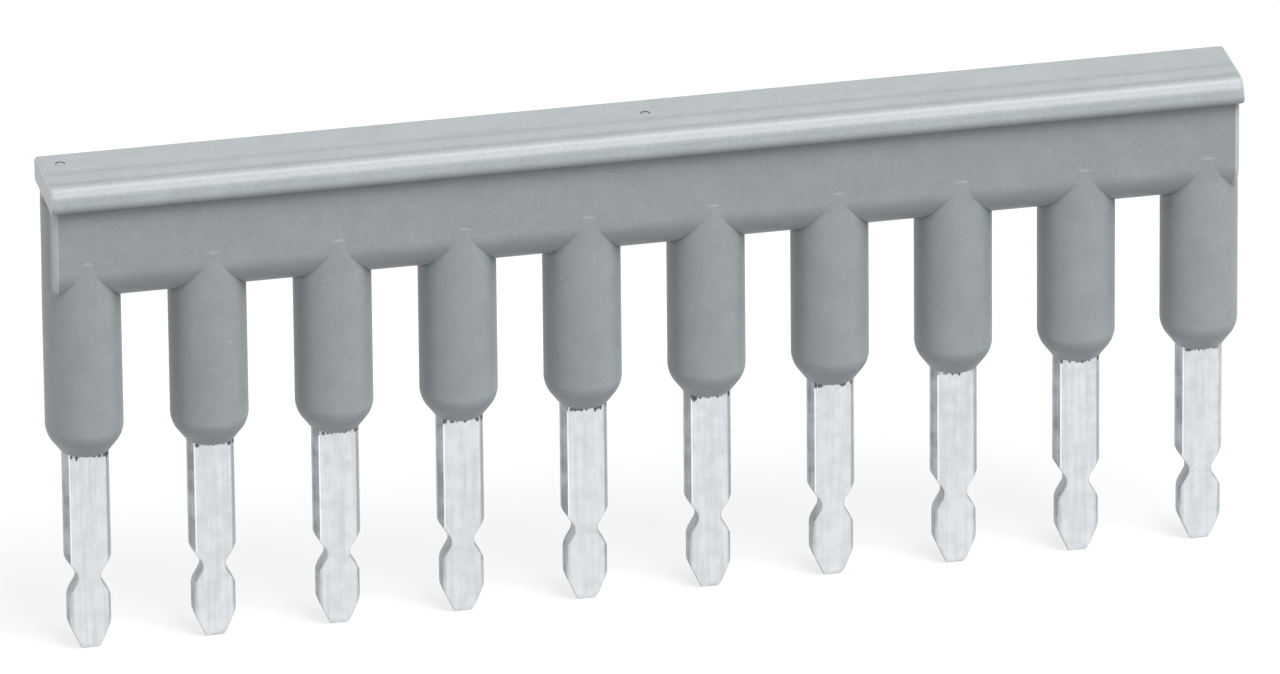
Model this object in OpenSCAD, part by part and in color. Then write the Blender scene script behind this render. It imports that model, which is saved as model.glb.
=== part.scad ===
// Push-in jumper bar for a row of rail-mounted terminal blocks.
// One moulded housing with a round sleeve post at each pole, and one stamped
// contact comb that the plastic is moulded round. Millimetres, +Z up, +X along
// the row. The origin is on the plane of the blade tips, under the middle.

/* [Row] */
// Number of poles, each with one sleeve post and one blade
poles = 10; // [2:1:10]
// Distance from one pole to the next
pitch = 5; // [4.5:0.1:6]

/* [Sleeve posts] */
// Diameter of a sleeve post
post_d = 3.1; // [3:0.05:3.5]
// Length of a post below the plate
post_free_len = 6.6; // [4:0.1:8]
// Height that a post runs up over the plate's faces
post_rise = 2; // [1.6:0.05:3]
// Depth of the draft at a post's top, where it runs out in the plate's faces
post_draft = 0.02; // [0.01:0.01:0.1]
// Height below the plate at which the draft starts
post_draft_drop = 0.35; // [0.1:0.05:1]
// Depth of the chamfer round a post's lower end
post_chamfer_w = 0.58; // [0.3:0.02:0.58]
// Height of the chamfer round a post's lower end
post_chamfer_h = 0.78; // [0.4:0.02:1.2]

/* [Plate between the posts] */
// Thickness of the plate
plate_t = 3; // [2.4:0.05:3]
// Height of the plate from its half-round lower edge to the rail
plate_h = 4.2; // [3.4:0.05:5]
// Length of the plate past the axis of each end post
plate_end = 1.33; // [1.2:0.01:1.9]
// Radius of the plate's four upright end edges
plate_edge_r = 0.3; // [0.1:0.05:0.6]

/* [Finger rail] */
// Thickness of the rail along the top
rail_t = 1.05; // [0.8:0.05:1.6]
// Width of the rail's ledge along the front and the back of the plate
rail_ledge = 0.36; // [0.15:0.01:0.6]
// Width of the rail's ledge at each end of the plate
rail_end_ledge = 0.1; // [0.05:0.01:0.4]
// Radius of the rail's back edges
rail_back_r = 0.12; // [0.05:0.01:0.3]
// Radius of the rail's four upright corners
rail_corner_r = 0.25; // [0.1:0.05:0.5]
// Width of the groove behind the rail's round nose
groove_w = 0.14; // [0.08:0.01:0.3]
// Depth of the groove behind the rail's round nose
groove_d = 0.07; // [0.03:0.01:0.2]
// Distance from the nose's axis back to the middle of the groove
groove_back = 0.2; // [0.1:0.05:0.4]
// Plain length of rail left at each end of the groove
groove_inset = 0.95; // [0.4:0.05:1.6]

/* [Contact comb] */
// Thickness of the stamped metal
blade_t = 0.8; // [0.5:0.05:1]
// Width of a blade's straight shaft
blade_w = 1.85; // [1.6:0.05:1.85]
// Length of a blade below its post
blade_len = 8.55; // [7:0.05:11]
// Width of the coined chamfer on a shaft's long edges
coin_w = 0.18; // [0.08:0.02:0.22]
// Height of the bus strip inside the plate
bus_h = 2.2; // [1.4:0.1:2.4]
// Height of plastic between the plate's lower edge and the bus strip
bus_cover = 1.3; // [0.8:0.05:1.4]

/* [Blade head] */
// Height of the shaft's lower end above the tip
shoulder_z = 3.95; // [3.75:0.05:4.3]
// Height of the middle of the neck above the tip
neck_z = 3.1; // [3:0.05:3.2]
// Width of the neck
neck_w = 0.94; // [0.7:0.02:1.1]
// Length of the neck's straight stretch
neck_flat = 0.3; // [0.1:0.05:0.4]
// Width of the head
head_w = 1.7; // [1.5:0.05:1.8]
// Height of the head's upper corners above the tip
head_top_z = 2.3; // [2.1:0.05:2.4]
// Height of the head's lower corners above the tip
head_low_z = 1.12; // [0.9:0.05:1.3]
// Width of the flat tip
tip_w = 0.7; // [0.5:0.02:0.9]
// Height of the lead-in bevels on the tip's front and back
tip_bevel_h = 0.3; // [0.1:0.05:0.5]
// Depth of each lead-in bevel at the tip
tip_bevel_d = 0.16; // [0.05:0.01:0.2]

/* [Hidden] */
// Corner radii of the blade's outline, from the shoulder down to the tip
shoulder_r = 0.1;
neck_r = 0.24;
head_top_r = 0.34;
head_low_r = 0.45;
tip_r = 0.12;
// Segments in one rounded corner of an outline
arc_steps = 6;
// Overlap that joins solids of one piece
join = 0.2;
// Length by which a cutting solid passes the face it cuts
over = 1;
$fn = 64;

row_len = (poles - 1) * pitch;
post_r = post_d / 2;
plate_len = row_len + 2 * plate_end;
rail_len = plate_len + 2 * rail_end_ledge;
rail_w = plate_t + 2 * rail_ledge;
nose_r = rail_t / 2;
post_z = blade_len;
plate_z = post_z + post_free_len;
post_top_z = plate_z + post_rise;
rail_z = plate_z + plate_h;
rail_top_z = rail_z + rail_t;
bus_z = plate_z + bus_cover;
bus_len = row_len + blade_w;

// Places the children once at each pole
module at_poles() {
    for (i = [0:poles - 1])
        translate([i * pitch - row_len / 2, 0, 0])
            children();
}

// Turns an outline drawn in y and z into a solid along X, centred
module along_row(length) {
    rotate([90, 0, 90])
        linear_extrude(height = length, center = true)
            children();
}

// Plan of a rectangle with four rounded corners
module rounded_plan(length, width, radius) {
    square([length - 2 * radius, width], center = true);
    square([length, width - 2 * radius], center = true);
    for (x = [-1, 1], y = [-1, 1])
        translate([x * (length / 2 - radius), y * (width / 2 - radius)])
            circle(r = radius);
}

// Unit vector from one point to another
function unit(from, to) = (to - from) / norm(to - from);

// Arc that rounds the corner b between a and c, tangent to both sides
function rounded(a, b, c, r) =
    let (
        u = unit(b, a),
        v = unit(b, c),
        half = acos(u * v) / 2,
        centre = b + unit([0, 0], u + v) * r / sin(half),
        start = b + u * r / tan(half) - centre,
        turn = cross(start, b - centre) > 0 ? 1 : -1,
        sweep = turn * (180 - 2 * half)
    )
    [for (i = [0:arc_steps])
        let (t = sweep * i / arc_steps)
        centre + [start.x * cos(t) - start.y * sin(t), start.x * sin(t) + start.y * cos(t)]];

// Corners of a blade's right half as [point, radius], from the shoulder down
head_corners = [
    [[blade_w / 2, shoulder_z], shoulder_r],
    [[neck_w / 2, neck_z + neck_flat / 2], neck_r],
    [[neck_w / 2, neck_z - neck_flat / 2], neck_r],
    [[head_w / 2, head_top_z], head_top_r],
    [[head_w / 2, head_low_z], head_low_r],
    [[tip_w / 2, 0], tip_r]
];

// Right half of a blade's outline, with each corner rounded
function blade_side() =
    let (
        first = [blade_w / 2, bus_z + join],
        last = [0, 0],
        n = len(head_corners)
    )
    concat(
        [first],
        [for (i = [0:n - 1])
            let (
                a = i == 0 ? first : head_corners[i - 1][0],
                c = i == n - 1 ? last : head_corners[i + 1][0]
            )
            each rounded(a, head_corners[i][0], c, head_corners[i][1])]
    );

// Stamped outline of one blade, from its tip up into the bus strip
module blade_outline() {
    right = blade_side();
    left = [for (i = [len(right) - 1:-1:0]) [-right[i].x, right[i].y]];
    polygon(concat(right, left));
}

// Side view of one blade, thinned towards the tip by two lead-in bevels
module blade_profile() {
    half_t = blade_t / 2;
    tip_t = half_t - tip_bevel_d;
    top = bus_z + join;
    polygon([
        [-tip_t, 0], [tip_t, 0], [half_t, tip_bevel_h],
        [half_t, top], [-half_t, top], [-half_t, tip_bevel_h]
    ]);
}

// Cross-section of one blade, with its long edges coined
module blade_section() {
    x = blade_w / 2;
    y = blade_t / 2;
    c = coin_w;
    polygon([
        [x, c - y], [x, y - c], [x - c, y], [c - x, y],
        [-x, y - c], [-x, c - y], [c - x, -y], [x - c, -y]
    ]);
}

// One blade: the form that its outline, side view and cross-section share
module blade() {
    intersection() {
        rotate([90, 0, 0])
            linear_extrude(height = blade_t, center = true)
                blade_outline();
        along_row(blade_w)
            blade_profile();
        linear_extrude(height = bus_z + join)
            blade_section();
    }
}

// Bus strip that joins all blades inside the plate
module bus_strip() {
    translate([-bus_len / 2, -blade_t / 2, bus_z])
        cube([bus_len, blade_t, bus_h]);
}

// Whole comb as one stamped piece
module comb_solid() {
    bus_strip();
    at_poles()
        blade();
}

// Round sleeve post: a chamfered lower end, a straight wall, and a draft from
// just below the plate up to where the post runs out in the plate's faces
module sleeve_post() {
    rotate_extrude()
        polygon([
            [0, post_z],
            [post_r - post_chamfer_w, post_z],
            [post_r, post_z + post_chamfer_h],
            [post_r, plate_z - post_draft_drop],
            [post_r - post_draft, post_top_z],
            [0, post_top_z]
        ]);
}

// Plate with a half-round lower edge and rounded upright end edges
module web_plate() {
    height = plate_h + join;
    intersection() {
        translate([0, 0, plate_z])
            linear_extrude(height = height)
                rounded_plan(plate_len, plate_t, plate_edge_r);
        along_row(plate_len + over)
            translate([0, plate_z + plate_t / 2]) {
                circle(d = plate_t);
                translate([-plate_t / 2, 0])
                    square([plate_t, height]);
            }
    }
}

// Section of the rail: a round nose at the front and small round back edges
module rail_section() {
    front = -rail_w / 2;
    back = rail_w / 2;
    translate([front + nose_r, nose_r])
        circle(r = nose_r);
    translate([front + nose_r, 0])
        square([rail_w - nose_r - rail_back_r, rail_t]);
    translate([back - 2 * rail_back_r, rail_back_r])
        square([2 * rail_back_r, rail_t - 2 * rail_back_r]);
    for (z = [rail_back_r, rail_t - rail_back_r])
        translate([back - rail_back_r, z])
            circle(r = rail_back_r);
}

// Finger rail along the top, with the groove behind its nose
module finger_rail() {
    groove_y = -rail_w / 2 + nose_r + groove_back - groove_w / 2;
    groove_len = rail_len - 2 * groove_inset;
    difference() {
        intersection() {
            translate([0, 0, rail_z])
                along_row(rail_len)
                    rail_section();
            translate([0, 0, rail_z])
                linear_extrude(height = rail_t)
                    rounded_plan(rail_len, rail_w, rail_corner_r);
        }
        translate([-groove_len / 2, groove_y, rail_top_z - groove_d])
            cube([groove_len, groove_w, groove_d + over]);
    }
}

// Moulded housing, closed round the comb with no gap
module insulating_housing() {
    color("#93999b")
        difference() {
            union() {
                web_plate();
                finger_rail();
                at_poles()
                    sleeve_post();
            }
            comb_solid();
        }
}

// Tin-plated copper comb
module contact_comb() {
    color("#d9dcde")
        union()
            comb_solid();
}

insulating_housing();
contact_comb();
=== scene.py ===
"""Push-in jumper bar for terminal blocks: moulded housing, stamped contact comb and studio.

Pieces are modelled in millimetres and brought to metres as their last step.
"""
import logging
import math
from collections.abc import Callable
from dataclasses import dataclass, field
from enum import Enum, IntEnum

import bmesh
import bpy
from bpy.types import Material, Node, NodeSocket, NodeTree, Object
from mathutils import Matrix, Vector


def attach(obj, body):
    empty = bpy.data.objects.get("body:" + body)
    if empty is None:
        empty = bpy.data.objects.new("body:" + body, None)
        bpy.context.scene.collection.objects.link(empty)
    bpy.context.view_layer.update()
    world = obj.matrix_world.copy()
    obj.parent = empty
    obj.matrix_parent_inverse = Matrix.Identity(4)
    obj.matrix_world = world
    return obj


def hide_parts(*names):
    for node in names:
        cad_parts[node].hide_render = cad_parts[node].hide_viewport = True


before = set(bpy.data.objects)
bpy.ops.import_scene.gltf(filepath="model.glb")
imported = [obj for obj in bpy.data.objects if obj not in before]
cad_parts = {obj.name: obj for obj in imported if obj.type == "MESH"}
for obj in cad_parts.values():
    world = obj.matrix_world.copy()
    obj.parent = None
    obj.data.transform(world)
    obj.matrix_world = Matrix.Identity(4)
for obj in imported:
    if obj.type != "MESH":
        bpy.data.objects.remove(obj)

logging.basicConfig(level=logging.INFO, format="%(name)s: %(message)s")
log = logging.getLogger("jumper_bar")

MM = 0.001
# Millimetres within which two places count as one: a corner as it was drawn, an edge that
# was moved, and a whole side of a piece.
SAME = 1e-4
NEAR = 1e-3
MARGIN = 0.01
# Cosines above which an edge runs along an axis, and above which a face looks along it.
ALONG = 0.99
FACING = 0.9
WHITE = (1.0, 1.0, 1.0, 1.0)
Point = tuple[float, float, float]
Span = tuple[float, float]


class MeshPart(Enum):
    """What a pick in edit mode selects."""

    EDGE = "EDGE"
    FACE = "FACE"


class Body(Enum):
    """CAD body that a piece rides on."""

    ROOT = "root"


class CombFinish(IntEnum):
    """Material slots of the comb, in their order."""

    FACE = 0
    SHEARED = 1
    COINED = 2
    BURNISHED = 3


class HousingFinish(IntEnum):
    """Material slots of the housing, in their order."""

    SKIN = 0
    RUBBED = 1
    RAIL_TOP = 2


def linear(hex_colour: str) -> tuple[float, float, float, float]:
    """Turns an sRGB hex colour into linear light.

    Args:
        hex_colour: Six hex digits, with or without a leading #.

    Returns:
        Red, green, blue and an alpha of 1.
    """
    digits = hex_colour.lstrip("#")
    channels = [int(digits[i:i + 2], 16) / 255 for i in (0, 2, 4)]
    light = [c / 12.92 if c <= 0.04045 else ((c + 0.055) / 1.055) ** 2.4 for c in channels]
    return (light[0], light[1], light[2], 1.0)


# Modelling bench


def start_edit(piece: Object) -> None:
    """Makes a piece the only selected one and opens it in edit mode."""
    activate(piece)
    bpy.ops.object.mode_set(mode="EDIT")


def end_edit() -> None:
    """Goes back to object mode."""
    bpy.ops.object.mode_set(mode="OBJECT")


def activate(*pieces: Object) -> None:
    """Selects these objects alone, the first one active."""
    bpy.ops.object.select_all(action="DESELECT")
    for piece in pieces:
        piece.select_set(True)
    bpy.context.view_layer.objects.active = pieces[0]


def pick(part: MeshPart, test: Callable[[Vector, Vector], bool]) -> int:
    """Selects edges or faces of the mesh in edit mode by place and direction.

    Args:
        part: Whether edges or faces are picked.
        test: Gets the middle and the direction of an edge, or the middle and the normal
            of a face, and says whether it is picked.

    Returns:
        How many are selected.
    """
    bpy.ops.mesh.select_mode(type=part.value)
    bpy.ops.mesh.select_all(action="DESELECT")
    data = bpy.context.edit_object.data
    mesh = bmesh.from_edit_mesh(data)
    count = 0
    if part is MeshPart.FACE:
        for face in mesh.faces:
            if test(face.calc_center_median(), face.normal):
                face.select_set(True)
                count += 1
    else:
        for edge in mesh.edges:
            a, b = edge.verts[0].co, edge.verts[1].co
            if test((a + b) / 2, (b - a).normalized()):
                edge.select_set(True)
                count += 1
    bmesh.update_edit_mesh(data)
    return count


def block(name: str, low: Point, high: Point) -> Object:
    """Adds a plain block between two corners, as the start of a piece.

    Args:
        name: Name of the new object.
        low: Lowest corner in millimetres.
        high: Highest corner in millimetres.

    Returns:
        The new object, at the origin.
    """
    bpy.ops.object.select_all(action="DESELECT")
    middle = [(a + b) / 2 for a, b in zip(low, high)]
    size = [b - a for a, b in zip(low, high)]
    bpy.ops.mesh.primitive_cube_add(size=1, location=middle, scale=size)
    return settle(name)


def drum(name: str, radius: float, bottom: float, top: float, sides: int) -> Object:
    """Adds an upright round bar on the Z axis, as the start of a piece.

    Args:
        name: Name of the new object.
        radius: Radius in millimetres.
        bottom: Height of its lower face in millimetres.
        top: Height of its upper face in millimetres.
        sides: Number of flats round it.

    Returns:
        The new object, at the origin.
    """
    bpy.ops.object.select_all(action="DESELECT")
    bpy.ops.mesh.primitive_cylinder_add(
        vertices=sides, radius=radius, depth=top - bottom, location=(0, 0, (top + bottom) / 2)
    )
    return settle(name)


def settle(name: str) -> Object:
    """Names the active object and puts its place and scale into its mesh."""
    piece = bpy.context.active_object
    piece.name = name
    bpy.ops.object.transform_apply(location=True, rotation=True, scale=True)
    return piece


def apply_modifier(piece: Object, kind: str, **settings: object) -> None:
    """Adds one modifier to a piece and applies it.

    Args:
        piece: The object that is changed.
        kind: Blender's name of the modifier type.
        **settings: Values set on the modifier.
    """
    activate(piece)
    modifier = piece.modifiers.new(kind.title(), kind)
    for key, value in settings.items():
        setattr(modifier, key, value)
    bpy.ops.object.modifier_apply(modifier=modifier.name)


def combine(piece: Object, tool: Object, operation: str) -> None:
    """Cuts, joins or intersects a piece with a tool solid, and deletes the tool.

    Args:
        piece: The object that is changed.
        tool: The closed solid that works on it.
        operation: DIFFERENCE, UNION or INTERSECT.
    """
    apply_modifier(piece, "BOOLEAN", object=tool, operation=operation, solver="EXACT")
    bpy.data.objects.remove(tool, do_unlink=True)


def copy_at(piece: Object, name: str, x: float) -> Object:
    """Copies a piece with its own mesh and shifts the copy's mesh along the row.

    Args:
        piece: The object that is copied.
        name: Name of the copy.
        x: Shift along the row in millimetres.

    Returns:
        The copy, at the origin.
    """
    twin = piece.copy()
    twin.data = piece.data.copy()
    twin.name = name
    bpy.context.scene.collection.objects.link(twin)
    activate(twin)
    twin.location.x = x
    bpy.ops.object.transform_apply(location=True, rotation=False, scale=False)
    return twin


def join(pieces: list[Object], name: str) -> Object:
    """Joins several objects into the first one and names it."""
    activate(*pieces)
    bpy.ops.object.join()
    pieces[0].name = name
    pieces[0].data.name = name
    return pieces[0]


def to_metres(piece: Object) -> None:
    """Scales a finished piece from millimetres to metres about the origin."""
    activate(piece)
    piece.scale = (MM, MM, MM)
    bpy.ops.object.transform_apply(location=True, rotation=True, scale=True)


def shade(piece: Object, angle_deg: float) -> None:
    """Smooths a piece up to an angle, with each normal led by the larger faces.

    Args:
        piece: The object that is shaded.
        angle_deg: Steepest turn between two facets that still looks smooth.
    """
    activate(piece)
    bpy.ops.object.shade_smooth_by_angle(angle=math.radians(angle_deg))
    apply_modifier(piece, "WEIGHTED_NORMAL", keep_sharp=True, weight=60)


# Finishes


def add_node(
    tree: NodeTree,
    kind: str,
    settings: dict[str, object] | None = None,
    inputs: dict[str | int, object] | None = None,
) -> Node:
    """Adds one shader node with its settings and links.

    Args:
        tree: The node tree.
        kind: Blender's name of the node type.
        settings: Properties set on the node.
        inputs: Values of its sockets, where an output socket becomes a link.

    Returns:
        The new node.
    """
    node = tree.nodes.new(kind)
    for key, value in (settings or {}).items():
        setattr(node, key, value)
    for key, value in (inputs or {}).items():
        if isinstance(value, NodeSocket):
            tree.links.new(value, node.inputs[key])
        else:
            node.inputs[key].default_value = value
    return node


def blank_material(name: str) -> tuple[Material, NodeTree]:
    """Makes an empty node material."""
    material = bpy.data.materials.new(name)
    material.use_nodes = True
    material.node_tree.nodes.clear()
    return material, material.node_tree


def per_metre(feature_mm: float) -> float:
    """Pattern scale that gives features of this size in millimetres."""
    return 1 / (feature_mm * MM)


def noise(tree: NodeTree, place: NodeSocket, feature_mm: float, **inputs: float) -> NodeSocket:
    """Adds a noise pattern with features of this size and gives its value."""
    return add_node(tree, "ShaderNodeTexNoise", inputs={
        "Vector": place, "Scale": per_metre(feature_mm), **inputs,
    }).outputs["Fac"]


def calculate(tree: NodeTree, operation: str, *values: object) -> NodeSocket:
    """Adds one math node on these values and gives its result."""
    node = add_node(tree, "ShaderNodeMath", {"operation": operation}, dict(enumerate(values)))
    return node.outputs["Value"]


def remap(
    tree: NodeTree,
    value: NodeSocket,
    source: Span,
    target: Span,
    interpolation: str = "LINEAR",
) -> NodeSocket:
    """Maps a value from one range to another.

    Args:
        tree: The node tree.
        value: The value.
        source: Range that it is read in.
        target: Range that it is brought to.
        interpolation: LINEAR, or SMOOTHSTEP for a soft start and end.

    Returns:
        The mapped value.
    """
    node = add_node(tree, "ShaderNodeMapRange", {"interpolation_type": interpolation}, {
        "Value": value, "From Min": source[0], "From Max": source[1],
        "To Min": target[0], "To Max": target[1],
    })
    return node.outputs["Result"]


def ramp(tree: NodeTree, value: NodeSocket, stops: dict[float, str]) -> NodeSocket:
    """Colours a value by a ramp.

    Args:
        tree: The node tree.
        value: The value.
        stops: Hex colour at each position, the lowest position first.

    Returns:
        The colour.
    """
    node = add_node(tree, "ShaderNodeValToRGB", inputs={"Fac": value})
    elements = node.color_ramp.elements
    positions = list(stops)
    elements[0].position, elements[1].position = positions[0], positions[-1]
    for position in positions[1:-1]:
        elements.new(position)
    for element, colour in zip(elements, stops.values()):
        element.color = linear(colour)
    return node.outputs["Color"]


def tint(tree: NodeTree, share: NodeSocket, colour: NodeSocket, over: str) -> NodeSocket:
    """Mixes a hex colour into a colour by a share and gives the result."""
    return add_node(tree, "ShaderNodeMix", {"data_type": "RGBA"}, {
        0: share, 6: colour, 7: linear(over),
    }).outputs[2]


def relief(
    tree: NodeTree, pattern: NodeSocket, height_mm: float, **inputs: object
) -> NodeSocket:
    """Turns a pattern into relief of this height and gives the bent normal."""
    return add_node(tree, "ShaderNodeBump", inputs={
        "Height": pattern, "Distance": height_mm * MM, "Strength": 1.0, **inputs,
    }).outputs["Normal"]


def coat(tree: NodeTree, inputs: dict[str, object]) -> None:
    """Adds the surface with these inputs and the material's output."""
    surface = add_node(tree, "ShaderNodeBsdfPrincipled", inputs=inputs)
    add_node(tree, "ShaderNodeOutputMaterial", inputs={"Surface": surface.outputs["BSDF"]})


@dataclass(frozen=True)
class MouldedPolyamide:
    """Grey polyamide as it leaves a spark-eroded mould: matt, finely grained, faintly mottled."""

    name: str = "moulded_polyamide"
    colour: str = "#93999b"
    dark_mottle: str = "#8d9395"
    light_mottle: str = "#999fa1"
    tone_range: Span = (0.36, 0.64)
    fleck_colour: str = "#b4b9bb"
    # Colour of the painted shade in the creases and along the furrows.
    painted_shade_colour: str = "#3c4143"
    grain_mm: float = 0.11
    mottle_mm: float = 1.1
    wave_mm: float = 2.4
    fleck_mm: float = 1.5
    fleck_edge: Span = (0.05, 0.02)
    fleck_cover: float = 0.5
    grain_height_mm: float = 0.005
    wave_height_mm: float = 0.006
    # Reach, strength and occlusion range of the painted crease shade.
    crease_mm: float = 0.22
    crease_shade: float = 0.85
    crease_cover: Span = (0.42, 0.92)
    roughness: float = 0.45
    roughness_spread: float = 0.06
    sheen_level: float = 0.36
    ior: float = 1.53
    # Painted shade in soft dark lines along the row: Y and half width in millimetres, and share of
    # shade.
    furrow_shades: tuple[Point, ...] = ()

    def build(self) -> Material:
        """Builds the node material.

        Returns:
            The material.
        """
        material, tree = blank_material(self.name)
        place = add_node(tree, "ShaderNodeTexCoord").outputs["Object"]
        grain = noise(tree, place, self.grain_mm, Detail=3.0, Roughness=0.6)
        mottle = noise(tree, place, self.mottle_mm, Detail=5.0, Roughness=0.62)
        wave = noise(tree, place, self.wave_mm, Detail=1.0)
        # Light and dark patches, half of them from the grain and half from the mottle.
        half_mottle = calculate(tree, "MULTIPLY", mottle, 0.5)
        speckle = calculate(tree, "MULTIPLY_ADD", grain, 0.5, half_mottle)
        low, high = self.tone_range
        tone = ramp(tree, speckle, {
            low: self.dark_mottle, (low + high) / 2: self.colour, high: self.light_mottle,
        })
        # A few pale flecks where the skin was scuffed.
        cells = add_node(tree, "ShaderNodeTexVoronoi", inputs={
            "Vector": place, "Scale": per_metre(self.fleck_mm),
        })
        fleck = remap(tree, cells.outputs["Distance"], self.fleck_edge, (0.0, self.fleck_cover))
        colour = tint(tree, fleck, tone, self.fleck_colour)
        # Deep painted shade in the creases, where two walls meet: occlusion darkens the colour
        # there.
        cover = add_node(tree, "ShaderNodeAmbientOcclusion", {"samples": 8}, {
            "Distance": self.crease_mm * MM,
        })
        crease = remap(tree, cover.outputs["AO"], self.crease_cover, (self.crease_shade, 0.0))
        shaded = self.lined(tree, place, tint(tree, crease, colour, self.painted_shade_colour))
        smooth, rough = (self.roughness + s * self.roughness_spread for s in (-1, 1))
        swell = relief(tree, wave, self.wave_height_mm)
        coat(tree, {
            "Base Color": shaded, "Roughness": remap(tree, mottle, (0.0, 1.0), (smooth, rough)),
            "IOR": self.ior, "Specular IOR Level": self.sheen_level,
            "Normal": relief(tree, grain, self.grain_height_mm, Normal=swell),
        })
        return material

    def lined(self, tree: NodeTree, place: NodeSocket, colour: NodeSocket) -> NodeSocket:
        """Paints shade softly along each furrow that runs with the row.

        Args:
            tree: The node tree.
            place: Object coordinates.
            colour: The plain colour.

        Returns:
            The lined colour, or the plain one where there is no furrow.
        """
        if not self.furrow_shades:
            return colour
        across = add_node(tree, "ShaderNodeSeparateXYZ", inputs={"Vector": place}).outputs["Y"]
        for y, half_width, depth in self.furrow_shades:
            away = calculate(tree, "ABSOLUTE", calculate(tree, "SUBTRACT", across, y * MM))
            line = remap(tree, away, (0.0, half_width * MM), (depth, 0.0), "SMOOTHSTEP")
            colour = tint(tree, line, colour, self.painted_shade_colour)
        return colour


@dataclass(frozen=True)
class RailTopPolyamide(MouldedPolyamide):
    """The same polyamide on the rail's top: painted shade in two soft darker lines where the
    surface dips.
    """

    name: str = "moulded_polyamide_rail_top"
    sheen_level: float = 0.54
    furrow_shades: tuple[Point, ...] = ((-0.14, 0.36, 0.14), (-1.12, 0.34, 0.24))


@dataclass(frozen=True)
class EdgeLightPolyamide(MouldedPolyamide):
    """The same polyamide, paler and smoother on the outer edges and ends: painted light where these
    catch it.
    """

    name: str = "polyamide_edge_painted_light"
    # Paler colour: painted light on the end edges and the rail's ends.
    colour: str = "#b4b9bb"
    dark_mottle: str = "#aeb3b5"
    light_mottle: str = "#bbc0c2"
    roughness: float = 0.36


@dataclass(frozen=True)
class TinPlate:
    """Bright tin plate on rolled copper: soft lengthwise streaks, cloudy patches, dull blotches."""

    name: str = "tin_plate_on_copper"
    bright: str = "#dadde0"
    dull: str = "#c8ccce"
    tone_range: Span = (0.14, 0.34)
    # Colour of the ragged marks below each post: soil mixed with painted shade.
    soil_and_shade: str = "#484e50"
    streak_mm: float = 0.16
    streak_length_mm: float = 3.2
    cloud_mm: float = 0.55
    streak_height_mm: float = 0.004
    roughness: float = 0.3
    # Change of the roughness at the dull and the bright end of this range of the streaks.
    roughness_spread: Span = (0.14, -0.06)
    streak_range: Span = (0.1, 0.4)
    exit_z_mm: float = 8.32
    shade_reach_mm: float = 0.5
    shade_spread: Span = (-0.5, 0.18)
    shade_edge: Span = (0.63, 0.72)
    shade_cover: float = 0.95

    def build(self) -> Material:
        """Builds the node material.

        Returns:
            The material.
        """
        material, tree = blank_material(self.name)
        place = add_node(tree, "ShaderNodeTexCoord").outputs["Object"]
        stretch = add_node(tree, "ShaderNodeMapping", inputs={
            "Vector": place, "Scale": (1.0, 1.0, self.streak_mm / self.streak_length_mm),
        })
        streak = noise(tree, stretch.outputs["Vector"], self.streak_mm, Detail=4.0, Roughness=0.55)
        cloud = noise(tree, place, self.cloud_mm, Detail=4.0, Roughness=0.6)
        worn = calculate(tree, "MULTIPLY", streak, cloud)
        low, high = self.tone_range
        tone = ramp(tree, worn, {low: self.dull, high: self.bright})
        # Dark ragged marks on the metal just below each post: partly soil, partly shade painted
        # where the sleeve shades it.
        height = add_node(tree, "ShaderNodeSeparateXYZ", inputs={"Vector": place}).outputs["Z"]
        exit_range = (self.exit_z_mm - self.shade_reach_mm) * MM, self.exit_z_mm * MM
        near_exit = remap(tree, height, exit_range, self.shade_spread)
        ragged = calculate(tree, "ADD", near_exit, streak)
        shade_film = remap(tree, ragged, self.shade_edge, (0.0, self.shade_cover))
        rough, smooth = (self.roughness + change for change in self.roughness_spread)
        coat(tree, {
            "Base Color": tint(tree, shade_film, tone, self.soil_and_shade), "Metallic": 1.0,
            "Roughness": remap(tree, worn, self.streak_range, (rough, smooth)),
            "Normal": relief(tree, streak, self.streak_height_mm),
        })
        return material


@dataclass(frozen=True)
class CoinedRim(TinPlate):
    """Tin plate pressed by the coining die along a long edge: greyer than the face."""

    name: str = "coined_tin_rim"
    bright: str = "#cdd1d4"
    dull: str = "#b7bcbf"


@dataclass(frozen=True)
class HighlightRim(TinPlate):
    """Tin plate on the rim along one side of the shaft, painted near white: a painted highlight, a
    thin white line of light.
    """

    name: str = "tin_rim_painted_highlight"
    bright: str = "#f6f8f9"
    dull: str = "#e8ebed"
    roughness: float = 0.34


@dataclass(frozen=True)
class ShearedEdge:
    """Cut edge of the stamping: darker and duller than the face, scored across its thickness."""

    name: str = "sheared_tinned_edge"
    colour: str = "#a6acaf"
    scored: str = "#8a9093"
    tone_range: Span = (0.35, 0.65)
    score_mm: float = 0.09
    score_stretch: float = 0.12
    cloud_mm: float = 0.7
    score_height_mm: float = 0.006
    roughness: float = 0.42

    def build(self) -> Material:
        """Builds the node material.

        Returns:
            The material.
        """
        material, tree = blank_material(self.name)
        place = add_node(tree, "ShaderNodeTexCoord").outputs["Object"]
        stretch = add_node(tree, "ShaderNodeMapping", inputs={
            "Vector": place, "Scale": (1.0, self.score_stretch, 1.0),
        })
        score = noise(tree, stretch.outputs["Vector"], self.score_mm, Detail=3.0)
        cloud = noise(tree, place, self.cloud_mm, Detail=2.0)
        low, high = self.tone_range
        coat(tree, {
            "Base Color": ramp(tree, cloud, {low: self.scored, high: self.colour}),
            "Metallic": 1.0, "Roughness": self.roughness,
            "Normal": relief(tree, score, self.score_height_mm),
        })
        return material


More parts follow.
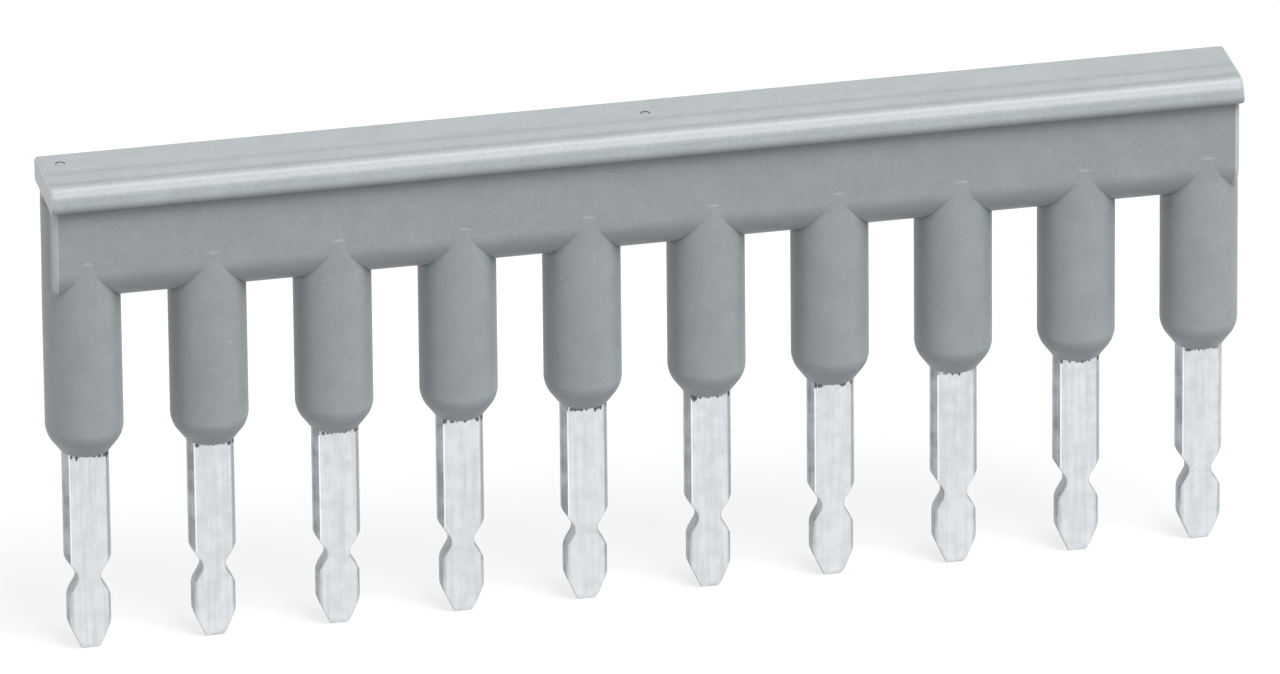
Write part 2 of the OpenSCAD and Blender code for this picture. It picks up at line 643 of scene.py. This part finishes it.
@dataclass(frozen=True)
class StudioPaper:
    """Matt white paper floor: reads as white to the eye and keeps a soft grey-blue shadow."""

    name: str = "white_studio_paper"
    colour: str = "#f4f6f8"
    bounce_colour: str = "#a9abad"
    lit_share: float = 0.24
    fibre_mm: float = 0.6
    fibre_height_mm: float = 0.002
    fibre_strength: float = 0.5

    def build(self) -> Material:
        """Builds the node material.

        Returns:
            The material.
        """
        material, tree = blank_material(self.name)
        place = add_node(tree, "ShaderNodeTexCoord").outputs["Object"]
        fibre = noise(tree, place, self.fibre_mm, Detail=2.0)
        normal = relief(tree, fibre, self.fibre_height_mm, Strength=self.fibre_strength)
        paper = add_node(tree, "ShaderNodeBsdfDiffuse", inputs={
            "Color": linear(self.colour), "Normal": normal,
        })
        bounce = add_node(tree, "ShaderNodeBsdfDiffuse", inputs={
            "Color": linear(self.bounce_colour), "Normal": normal,
        })
        glow = add_node(tree, "ShaderNodeEmission", inputs={"Color": WHITE, "Strength": 1.0})
        shown = add_node(tree, "ShaderNodeMixShader", inputs={
            "Fac": self.lit_share, 1: glow.outputs["Emission"], 2: paper.outputs["BSDF"],
        })
        surface = add_node(tree, "ShaderNodeMixShader", inputs={
            "Fac": seen_rays(tree), 1: bounce.outputs["BSDF"], 2: shown.outputs["Shader"],
        })
        add_node(tree, "ShaderNodeOutputMaterial", inputs={"Surface": surface.outputs["Shader"]})
        return material


def seen_rays(tree: NodeTree) -> NodeSocket:
    """Adds a value that is 1 for camera, glossy and transmission rays and 0 for the rest."""
    path = add_node(tree, "ShaderNodeLightPath").outputs
    first = calculate(tree, "MAXIMUM", path["Is Camera Ray"], path["Is Glossy Ray"])
    return calculate(tree, "MAXIMUM", first, path["Is Transmission Ray"])


# Pieces


@dataclass
class PoleRow:
    """Row of poles that the posts and the blades share, in millimetres."""

    poles: int = 10
    pitch: float = 5.0

    def places(self) -> list[float]:
        """X of every pole, from the first to the last."""
        half = (self.poles - 1) * self.pitch / 2
        return [i * self.pitch - half for i in range(self.poles)]


@dataclass
class ContactComb:
    """Stamped comb: ten blades on a bus strip that the housing hides, in millimetres."""

    row: PoleRow
    thickness: float = 0.8
    shaft_width: float = 1.85
    shoulder_z: float = 3.95
    neck_z: float = 3.1
    neck_width: float = 0.94
    neck_flat: float = 0.3
    head_width: float = 1.7
    head_top_z: float = 2.3
    head_low_z: float = 1.12
    tip_width: float = 0.7
    lead_in_height: float = 0.3
    lead_in_depth: float = 0.16
    coin_width: float = 0.19
    rim: float = 0.055
    # The stamping is this much thicker, and the envelope this much wider, than the blade, so
    # no two of their faces lie in one plane.
    spare: float = 0.05
    bus_z: float = 16.4
    bus_height: float = 2.2
    bus_overlap: float = 0.3
    arc_steps: int = 6
    # Radii of the outline's corners, from the tip up.
    radii: tuple[float, ...] = (0.1, 0.5, 0.4, 0.3, 0.3, 0.14)
    # How squarely a facet looks along Y, up to which it is a side, an outer rim, a chamfer
    # or an inner rim, and how far an inner rim turns towards X.
    side_facing: float = 0.3
    edge_facing: float = 0.6
    chamfer_facing: float = 0.85
    rim_facing: float = 0.98
    rim_turn: float = 0.1
    flat_deg: float = 1.0
    rim_deg: float = 24.0
    smooth_deg: float = 20.0

    def outline(self) -> list[tuple[float, float]]:
        """Corners of a blade's right half as (half width, height), from the tip up."""
        return [
            (self.tip_width / 2, 0.0),
            (self.head_width / 2, self.head_low_z),
            (self.head_width / 2, self.head_top_z),
            (self.neck_width / 2, self.neck_z - self.neck_flat / 2),
            (self.neck_width / 2, self.neck_z + self.neck_flat / 2),
            (self.shaft_width / 2, self.shoulder_z),
            (self.shaft_width / 2, self.bus_z + self.bus_overlap),
        ]

    def stamp(self) -> Object:
        """Draws one blade upwards from its tip and rounds the corners of its outline.

        Returns:
            The blade with square long edges.
        """
        corners = self.outline()
        half_t = self.thickness / 2 + self.spare
        (tip, _), (wide, first_z) = corners[0], corners[1]
        blade = block("blade", (-tip, -half_t, 0.0), (tip, half_t, first_z))
        start_edit(blade)
        last, last_z = tip, 0.0
        for step, (half, z) in enumerate(corners[1:]):
            pick(MeshPart.FACE, lambda c, n: n.z > FACING)
            if step:
                bpy.ops.mesh.extrude_region_move(
                    TRANSFORM_OT_translate={"value": (0, 0, z - last_z)}
                )
            bpy.ops.transform.resize(value=(half / last, 1, 1), center_override=(0, 0, z))
            last, last_z = half, z
        bpy.ops.mesh.select_all(action="SELECT")
        bpy.ops.mesh.dissolve_limited(angle_limit=math.radians(self.flat_deg))
        for i, radius in enumerate(self.radii):
            half, z = corners[i]
            before = corners[i - 1] if i else (0.0, 0.0)
            after = corners[i + 1]
            pick(MeshPart.EDGE, lambda c, d: abs(c.z - z) < SAME
                 and abs(abs(c.x) - half) < SAME and abs(d.y) > ALONG)
            bpy.ops.mesh.bevel(
                offset=tangent_length(before, (half, z), after, radius),
                offset_type="OFFSET", segments=self.arc_steps, affect="EDGES", clamp_overlap=False,
            )
        end_edit()
        return blade

    def envelope(self) -> Object:
        """Makes the coined and led-in form that trims a blade's long edges and tip.

        Returns:
            The closed trimming solid.
        """
        half_t = self.thickness / 2
        half_w = self.shaft_width / 2 + self.spare
        form = block("envelope", (-half_w, -half_t, 0.0),
                     (half_w, half_t, self.bus_z + self.bus_overlap))
        start_edit(form)
        pick(MeshPart.EDGE, lambda c, d: abs(d.z) > ALONG)
        chamfer = self.spare + self.coin_width
        bpy.ops.mesh.bevel(offset=chamfer, offset_type="OFFSET", segments=1, affect="EDGES")
        bpy.ops.mesh.select_all(action="SELECT")
        bpy.ops.mesh.bisect(plane_co=(0, 0, self.lead_in_height), plane_no=(0, 0, 1))
        pick(MeshPart.FACE, lambda c, n: n.z < -FACING)
        thinner = (half_t - self.lead_in_depth) / half_t
        bpy.ops.transform.resize(value=(1, thinner, 1), center_override=(0, 0, 0))
        end_edit()
        return form

    def build(
        self,
        face: Material,
        edge: Material,
        coined: Material,
        highlight_rim: Material,
    ) -> Object:
        """Builds the whole comb and dresses faces, cut edges and coined edges.

        Args:
            face: Finish of the rolled faces.
            edge: Finish of the sheared edges, also put as painted shade on the shaft's -X chamfer.
            coined: Finish of the coined long edges and of the head's rim.
            highlight_rim: Finish of the thin rim along one side of each face: a painted highlight.

        Returns:
            The comb in metres.
        """
        blade = self.stamp()
        combine(blade, self.envelope(), "INTERSECT")
        start_edit(blade)
        bpy.ops.mesh.select_all(action="SELECT")
        bpy.ops.mesh.dissolve_limited(angle_limit=math.radians(self.flat_deg))
        end_edit()
        apply_modifier(
            blade, "BEVEL", width=self.rim, segments=2, limit_method="ANGLE",
            angle_limit=math.radians(self.rim_deg), use_clamp_overlap=False,
        )
        blade.data.materials.clear()
        for finish in (face, edge, coined, highlight_rim):
            blade.data.materials.append(finish)
        self.dress(blade)
        twins = [copy_at(blade, f"blade_{i}", x) for i, x in enumerate(self.row.places())]
        half = self.row.places()[-1] + self.shaft_width / 2
        bus = block("bus", (-half, -self.thickness / 2, self.bus_z),
                    (half, self.thickness / 2, self.bus_z + self.bus_height))
        start_edit(bus)
        pick(MeshPart.EDGE, lambda c, d: abs(d.x) > ALONG)
        bpy.ops.mesh.bevel(offset=self.rim, segments=2, affect="EDGES")
        end_edit()
        bus.data.materials.append(face)
        bpy.data.objects.remove(blade, do_unlink=True)
        comb = join([twins[0], bus, *twins[1:]], "tinned_comb")
        to_metres(comb)
        shade(comb, self.smooth_deg)
        return comb

    def dress(self, blade: Object) -> None:
        """Gives each facet its finish by its normal and its height."""
        for facet in blade.data.polygons:
            facet.material_index = self.finish_of(facet.normal, facet.center.z)

    def finish_of(self, normal: Vector, height: float) -> CombFinish:
        """Chooses the finish of one facet of a blade.

        Args:
            normal: The facet's normal.
            height: Height of its middle in millimetres.

        Returns:
            Sheared for the cut sides and, as painted shade, the shaft's -X chamfer; coined for
            the other chamfers and the head's rim; a painted highlight on the shaft's -X rim.
        """
        facing, on_shaft = abs(normal.y), height > self.shoulder_z
        # The shaft's -X chamfer, on the side away from the key lamp, takes the darker sheared
        # finish as painted shade.
        shaded_chamfer = facing < self.chamfer_facing and normal.x < 0 and on_shaft
        if facing < self.side_facing or shaded_chamfer:
            return CombFinish.SHEARED
        if facing < self.edge_facing:
            return CombFinish.COINED if on_shaft else CombFinish.SHEARED
        if facing < self.chamfer_facing:
            return CombFinish.COINED
        if facing < self.rim_facing and abs(normal.x) > self.rim_turn:
            if not on_shaft:
                return CombFinish.COINED
            # The shaft's -X rim gets the painted highlight; its +X rim stays plain face.
            return CombFinish.BURNISHED if normal.x < 0 else CombFinish.FACE
        return CombFinish.FACE


def tangent_length(
    before: tuple[float, float],
    corner: tuple[float, float],
    after: tuple[float, float],
    radius: float,
) -> float:
    """Length of side that a rounded corner takes from each side next to it.

    Args:
        before: Point before the corner.
        corner: The corner.
        after: Point after the corner.
        radius: Radius of the rounding.

    Returns:
        Distance from the corner to where the arc starts.
    """
    one = (Vector(corner) - Vector(before)).normalized()
    two = (Vector(after) - Vector(corner)).normalized()
    turn = math.acos(max(-1.0, min(1.0, one.dot(two))))
    return radius * math.tan(turn / 2)


@dataclass
class InsulatingHousing:
    """Moulded housing: plate with half-round lower edge, ten sleeve posts and the finger rail."""

    row: PoleRow
    round_sides: int = 96
    post_radius: float = 1.549
    post_z: float = 8.55
    post_top_z: float = 17.15
    post_draft: float = 0.02
    draft_z: float = 14.8
    chamfer_width: float = 0.58
    chamfer_height: float = 0.78
    chamfer_round: float = 0.34
    rim_round: float = 0.08
    run_out: float = 0.14
    pillar_taper: float = 0.12
    pillar_overlap: float = 0.05
    pillar_cover: float = 0.03
    pillar_sink: float = 0.003
    post_sink: float = 0.01
    plate_thickness: float = 3.0
    plate_z: float = 15.15
    plate_end: float = 1.33
    plate_edge: float = 0.3
    plate_overlap: float = 0.3
    rail_z: float = 19.35
    rail_thickness: float = 1.05
    rail_ledge: float = 0.36
    rail_end_ledge: float = 0.1
    rail_back_edge: float = 0.12
    rail_end_edge: float = 0.14
    # Long edges of the rail's nose from the top down: distance behind the block's front,
    # drop below the top, and the length that the rounding takes from each side.
    nose_corners: tuple[Point, ...] = (
        (0.578, 0.0, 0.204), (0.272, 0.407, 0.08), (0.0, 1.05, 0.438),
    )
    nose_overshoot: float = 0.148
    # Section of the rail's top from its middle forwards: Y, and depth below the top.
    crown: tuple[Span, ...] = (
        (0.04, 0.0), (-0.08, 0.02), (-0.18, 0.02), (-0.3, 0.0), (-0.55, 0.0),
        (-0.95, 0.045), (-1.1, 0.07), (-1.22, 0.0),
    )
    crown_inset: float = 0.6
    crown_run_out: float = 0.3
    # Middles of the two ejector marks.
    dimples: tuple[Span, ...] = ((-23.06, 0.885), (0.216, 0.473))
    dimple_radius: float = 0.2
    dimple_depth: float = 0.035
    dimple_reach: float = 0.3
    dimple_sides: int = 24
    # Steps of a dimple's floor from the rim inwards: width, and rise as a share of the depth.
    dimple_steps: tuple[Span, ...] = ((0.02, 0.0), (0.05, 0.6), (0.05, 0.36))
    # How far the facets of an end edge with painted light turn to X and at most to Z.
    edge_turn: Span = (0.3, 0.97)
    edge_slope: float = 0.75
    # How squarely facets of the rail's ends look along X, and those of its top along Z.
    end_facing: float = 0.5
    top_facing: float = 0.6
    top_depth: float = 0.3
    smooth_deg: float = 10.8

    def post(self) -> Object:
        """Makes one sleeve post with its chamfered lower end and its draft above.

        Returns:
            The post at the middle of the row.
        """
        low = self.post_z + self.chamfer_height
        post = drum("post", self.post_radius, low, self.draft_z, self.round_sides)
        start_edit(post)
        pick(MeshPart.FACE, lambda c, n: n.z < -FACING)
        bpy.ops.mesh.extrude_region_move(
            TRANSFORM_OT_translate={"value": (0, 0, -self.chamfer_height)}
        )
        small = (self.post_radius - self.chamfer_width) / self.post_radius
        bpy.ops.transform.resize(value=(small, small, 1), center_override=(0, 0, self.post_z))
        pick(MeshPart.FACE, lambda c, n: n.z > FACING)
        run_out_z = self.post_top_z - self.run_out
        last, last_z = self.post_radius, self.draft_z
        for radius, z in ((self.post_radius - self.post_draft, run_out_z),
                          (self.plate_thickness / 2 - self.post_sink, self.post_top_z)):
            bpy.ops.mesh.extrude_region_move(
                TRANSFORM_OT_translate={"value": (0, 0, z - last_z)}
            )
            slim = radius / last
            bpy.ops.transform.resize(value=(slim, slim, 1), center_override=(0, 0, z))
            last, last_z = radius, z
        pick(MeshPart.EDGE, lambda c, d: abs(c.z - low) < SAME)
        bpy.ops.mesh.bevel(offset=self.chamfer_round, segments=10, affect="EDGES")
        pick(MeshPart.EDGE, lambda c, d: abs(c.z - self.post_z) < SAME)
        bpy.ops.mesh.bevel(offset=self.rim_round, segments=4, affect="EDGES")
        end_edit()
        return post

    def end_pillars(self) -> Object:
        """Makes the two pillars that carry the end posts' round walls up to the rail.

        Returns:
            Both pillars as one object, flush with the plate's faces.
        """
        radius = self.post_radius - self.post_draft
        shoulder_z = self.rail_z - self.pillar_taper
        foot_z = self.post_top_z - self.run_out - self.pillar_overlap
        pillar = drum("pillar", radius, foot_z, shoulder_z, self.round_sides)
        start_edit(pillar)
        pick(MeshPart.FACE, lambda c, n: n.z > FACING)
        bpy.ops.mesh.extrude_region_move(
            TRANSFORM_OT_translate={"value": (0, 0, 2 * self.pillar_taper)}
        )
        slim = (self.plate_end + self.rail_end_ledge - self.pillar_cover) / radius
        bpy.ops.transform.resize(value=(slim, slim, 1),
                                 center_override=(0, 0, self.rail_z + self.pillar_taper))
        bpy.ops.mesh.select_all(action="SELECT")
        flush = (self.plate_thickness / 2 - self.pillar_sink) / radius
        bpy.ops.transform.resize(value=(1, flush, 1), center_override=(0, 0, 0))
        end_edit()
        ends = self.row.places()
        pair = [copy_at(pillar, f"pillar_{i}", x) for i, x in enumerate((ends[0], ends[-1]))]
        bpy.data.objects.remove(pillar, do_unlink=True)
        return join(pair, "pillars")

    def plate(self) -> Object:
        """Makes the plate: a half-round lower edge and rounded ends.

        Returns:
            The plate, sunk a little into the rail.
        """
        half_l = self.row.places()[-1] + self.plate_end
        half_t = self.plate_thickness / 2
        plate = block("plate", (-half_l, -half_t, self.plate_z),
                      (half_l, half_t, self.rail_z + self.plate_overlap))
        start_edit(plate)
        pick(MeshPart.EDGE, lambda c, d: abs(d.x) > ALONG and c.z < self.plate_z + MARGIN)
        bpy.ops.mesh.bevel(offset=half_t, segments=20, affect="EDGES")
        bpy.ops.mesh.select_all(action="SELECT")
        bpy.ops.mesh.remove_doubles(threshold=SAME)
        pick(MeshPart.EDGE, lambda c, d: abs(abs(c.x) - half_l) < SAME
             and c.z < self.rail_z + self.plate_overlap - MARGIN)
        bpy.ops.mesh.bevel(offset=self.plate_edge, segments=6, affect="EDGES",
                           clamp_overlap=False)
        end_edit()
        return plate

    def rail(self) -> Object:
        """Makes the finger rail: a sloping round nose, small back edges and a crowned top.

        Returns:
            The rail.
        """
        half_l = self.row.places()[-1] + self.plate_end + self.rail_end_ledge
        half_w = self.plate_thickness / 2 + self.rail_ledge
        top = self.rail_z + self.rail_thickness
        front = -half_w - self.nose_overshoot
        rail = block("rail", (-half_l, front, self.rail_z), (half_l, half_w, top))
        start_edit(rail)
        self.draw_crown(half_l, top)
        self.draw_nose(front, top)
        pick(MeshPart.EDGE, lambda c, d: abs(d.x) > ALONG and c.y > half_w - MARGIN)
        bpy.ops.mesh.bevel(offset=self.rail_back_edge, segments=5, affect="EDGES")
        pick(MeshPart.EDGE, lambda c, d: abs(abs(c.x) - half_l) < SAME)
        bpy.ops.mesh.bevel(offset=self.rail_end_edge, segments=6, affect="EDGES",
                           clamp_overlap=False)
        end_edit()
        for x, y in self.dimples:
            combine(rail, self.dimple_cutter(x, y, top), "DIFFERENCE")
        return rail

    def draw_nose(self, front: float, top: float) -> None:
        """Slopes the rail's front in two steps and rounds its three long edges.

        Args:
            front: Y of the block's front face.
            top: Height of the rail's top.
        """
        for _, drop, _ in self.nose_corners[1:-1]:
            pick(MeshPart.FACE, lambda c, n: n.y < -FACING)
            bpy.ops.mesh.bisect(plane_co=(0, 0, top - drop), plane_no=(0, 0, 1))
        for back, drop, _ in self.nose_corners:
            pick(MeshPart.EDGE, lambda c, d: abs(d.x) > ALONG and c.y < front + MARGIN
                 and abs(c.z - top + drop) < NEAR)
            bpy.ops.transform.translate(value=(0, back, 0))
        for back, drop, tangent in self.nose_corners:
            pick(MeshPart.EDGE, lambda c, d: abs(d.x) > ALONG
                 and abs(c.y - front - back) < NEAR and abs(c.z - top + drop) < NEAR)
            bpy.ops.mesh.bevel(offset=tangent, segments=12, affect="EDGES", clamp_overlap=False)

    def draw_crown(self, half_length: float, top: float) -> None:
        """Cuts the rail's top along the row and sinks the new edges to the crown's section.

        Args:
            half_length: Half of the rail's length.
            top: Height of the rail's top.
        """
        outer = half_length - self.crown_inset
        inner = outer - self.crown_run_out
        for x in (-outer, -inner, inner, outer):
            pick(MeshPart.FACE, lambda c, n: n.z > FACING)
            bpy.ops.mesh.bisect(plane_co=(x, 0, 0), plane_no=(1, 0, 0))
        for y, _ in self.crown:
            pick(MeshPart.FACE, lambda c, n: n.z > FACING)
            bpy.ops.mesh.bisect(plane_co=(0, y, 0), plane_no=(0, 1, 0))
        for y, depth in self.crown:
            pick(MeshPart.EDGE, lambda c, d: abs(d.x) > ALONG and abs(c.x) < MARGIN
                 and c.z > top - MARGIN and abs(c.y - y) < NEAR)
            bpy.ops.transform.translate(value=(0, 0, -depth))

    def dimple_cutter(self, x: float, y: float, top: float) -> Object:
        """Makes the ring-ended pin that leaves an ejector mark in the rail's top.

        Args:
            x: Place along the row.
            y: Place across the row.
            top: Height of the rail's top.

        Returns:
            The closed cutting solid.
        """
        pin = drum("dimple", self.dimple_radius, top - self.dimple_depth,
                   top + self.dimple_reach, self.dimple_sides)
        start_edit(pin)
        pick(MeshPart.FACE, lambda c, n: n.z < -FACING)
        for width, rise in self.dimple_steps:
            bpy.ops.mesh.inset(thickness=width)
            bpy.ops.transform.translate(value=(0, 0, rise * self.dimple_depth))
        bpy.ops.mesh.select_all(action="SELECT")
        bpy.ops.transform.translate(value=(x, y, 0))
        end_edit()
        return pin

    def build(
        self, skin: Material, lit_edge: Material, top: Material
    ) -> Object:
        """Fuses plate, posts and rail into one moulding and dresses it.

        Args:
            skin: Finish of the moulded skin.
            lit_edge: Paler finish of the plate's upright end edges and the rail's ends: painted
                light.
            top: Finish of the rail's top, with its painted shade lines.

        Returns:
            The housing in metres.
        """
        post = self.post()
        posts = [copy_at(post, f"post_{i}", x) for i, x in enumerate(self.row.places())]
        bpy.data.objects.remove(post, do_unlink=True)
        housing = self.plate()
        combine(housing, join(posts, "posts"), "UNION")
        combine(housing, self.end_pillars(), "UNION")
        combine(housing, self.rail(), "UNION")
        housing.name = "moulded_housing"
        housing.data.materials.clear()
        for finish in (skin, lit_edge, top):
            housing.data.materials.append(finish)
        self.dress(housing)
        to_metres(housing)
        shade(housing, self.smooth_deg)
        return housing

    def dress(self, housing: Object) -> None:
        """Gives painted light to the plate's upright end edges and the rail's ends, and the rail's
        top its finish.
        """
        flat_x = self.row.places()[-1] + self.plate_end - self.plate_edge
        flat_y = self.plate_thickness / 2 - self.plate_edge
        top = self.rail_z + self.rail_thickness
        least, most = self.edge_turn
        for facet in housing.data.polygons:
            n, c = facet.normal, facet.center
            upright_edge = least < abs(n.x) < most and abs(n.z) < self.edge_slope
            end_edge = (upright_edge and abs(c.x) > flat_x and abs(c.y) > flat_y
                        and self.draft_z < c.z < self.rail_z)
            rail_end = abs(n.x) > self.end_facing and c.z > self.rail_z
            on_top = n.z > self.top_facing and c.z > top - self.top_depth
            # End edges and rail ends take the paler finish: painted light.
            if end_edge or rail_end:
                facet.material_index = HousingFinish.RUBBED
            elif on_top:
                facet.material_index = HousingFinish.RAIL_TOP
            else:
                facet.material_index = HousingFinish.SKIN


# Studio


@dataclass(frozen=True)
class SoftLamp:
    """Square soft box aimed at the middle of the bar."""

    name: str
    place_m: Point
    size_m: float
    watts: float
    colour: str = "#ffffff"
    aim_m: Point = (0.0, 0.0, 0.01)

    def build(self) -> Object:
        """Adds the lamp.

        Returns:
            The lamp.
        """
        light = bpy.data.lights.new(self.name, "AREA")
        light.shape = "SQUARE"
        light.size = self.size_m
        light.energy = self.watts
        light.color = linear(self.colour)[:3]
        lamp = bpy.data.objects.new(self.name, light)
        bpy.context.scene.collection.objects.link(lamp)
        place = Vector(self.place_m)
        lamp.location = place
        back = place - Vector(self.aim_m)
        lamp.rotation_euler = back.to_track_quat("Z", "Y").to_euler()
        return lamp


@dataclass
class Studio:
    """Pale paper floor, even sky, two soft lamps and the camera of the photograph."""

    floor_half_m: float = 1.6
    floor_corner_m: float = 0.5
    azimuth_deg: float = -11.91
    elevation_deg: float = 24.06
    roll_rad: float = -0.010
    lens_mm: float = 499.0
    sensor_mm: float = 36.0
    distance_m: float = 0.7
    target_m: Point = (-0.000174, 0.0, 0.011013)
    sky_colour: str = "#f8f9fa"
    sky_strength: float = 0.29
    lamps: list[SoftLamp] = field(default_factory=list)

    def floor(self, paper: Material) -> Object:
        """Lays the paper floor under the blade tips.

        Args:
            paper: Finish of the floor.

        Returns:
            The floor, a sheet with rounded corners.
        """
        bpy.ops.object.select_all(action="DESELECT")
        bpy.ops.mesh.primitive_plane_add(size=2 * self.floor_half_m, location=(0, 0, 0))
        floor = settle("paper_floor")
        start_edit(floor)
        bpy.ops.mesh.select_all(action="SELECT")
        bpy.ops.mesh.bevel(offset=self.floor_corner_m, segments=12, affect="VERTICES")
        end_edit()
        floor.data.materials.append(paper)
        return floor

    def sky(self) -> None:
        """Sets an even pale sky that the camera sees as white."""
        world = bpy.data.worlds.new("studio_sky")
        bpy.context.scene.world = world
        world.use_nodes = True
        tree = world.node_tree
        tree.nodes.clear()
        light = add_node(tree, "ShaderNodeBackground", inputs={
            "Color": linear(self.sky_colour), "Strength": self.sky_strength,
        })
        white = add_node(tree, "ShaderNodeBackground", inputs={
            "Color": WHITE, "Strength": 1.0,
        })
        mix = add_node(tree, "ShaderNodeMixShader", inputs={
            "Fac": seen_rays(tree), 1: light.outputs["Background"],
            2: white.outputs["Background"],
        })
        add_node(tree, "ShaderNodeOutputWorld", inputs={"Surface": mix.outputs["Shader"]})

    def camera(self) -> Object:
        """Places the camera at the photograph's viewing angle.

        Returns:
            The camera.
        """
        azimuth = math.radians(self.azimuth_deg)
        elevation = math.radians(self.elevation_deg)
        back = Vector((
            math.sin(azimuth) * math.cos(elevation),
            -math.cos(azimuth) * math.cos(elevation),
            math.sin(elevation),
        ))
        right = Vector((math.cos(azimuth), math.sin(azimuth), 0))
        up = back.cross(right)
        side = right * math.cos(self.roll_rad) + up * math.sin(self.roll_rad)
        head = up * math.cos(self.roll_rad) - right * math.sin(self.roll_rad)
        lens = bpy.data.cameras.new("studio_camera")
        lens.lens = self.lens_mm
        lens.sensor_width = self.sensor_mm
        lens.sensor_fit = "HORIZONTAL"
        camera = bpy.data.objects.new("studio_camera", lens)
        bpy.context.scene.collection.objects.link(camera)
        turn = Matrix((side, head, back)).transposed().to_4x4()
        place = Vector(self.target_m) + back * self.distance_m
        camera.matrix_world = Matrix.Translation(place) @ turn
        bpy.context.scene.camera = camera
        return camera

    def build(self, paper: Material) -> Object:
        """Builds the floor, the sky, the lamps and the camera.

        Args:
            paper: Finish of the floor.

        Returns:
            The floor.
        """
        floor = self.floor(paper)
        self.sky()
        for lamp in self.lamps:
            lamp.build()
        self.camera()
        bpy.context.scene.view_settings.view_transform = "Standard"
        return floor


def report(piece: Object, node: str) -> None:
    """Logs a piece's size in millimetres and its triangles."""
    piece.data.calc_loop_triangles()
    size = [round(d / MM, 2) for d in piece.dimensions]
    log.info("%s for %s: %s mm, %d triangles", piece.name, node, size,
             len(piece.data.loop_triangles))


def main() -> None:
    """Builds every piece in order and puts it on the CAD frame."""
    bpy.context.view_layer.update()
    row = PoleRow()

    plastic = MouldedPolyamide().build()
    housing = InsulatingHousing(row).build(
        plastic, EdgeLightPolyamide().build(), RailTopPolyamide().build()
    )
    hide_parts("insulating_housing")
    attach(housing, Body.ROOT.value)
    report(housing, "insulating_housing")

    comb = ContactComb(row).build(
        TinPlate().build(), ShearedEdge().build(), CoinedRim().build(), HighlightRim().build()
    )
    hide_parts("contact_comb")
    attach(comb, Body.ROOT.value)
    report(comb, "contact_comb")

    studio = Studio(lamps=[
        SoftLamp("key_lamp", (0.2415, -0.3581, 0.8123), 0.6, 12.5),
        SoftLamp("side_lamp", (-0.89, -0.19, 0.21), 0.4, 1.6),
    ])
    studio.build(StudioPaper().build())


if __name__ == "__main__":
    main()
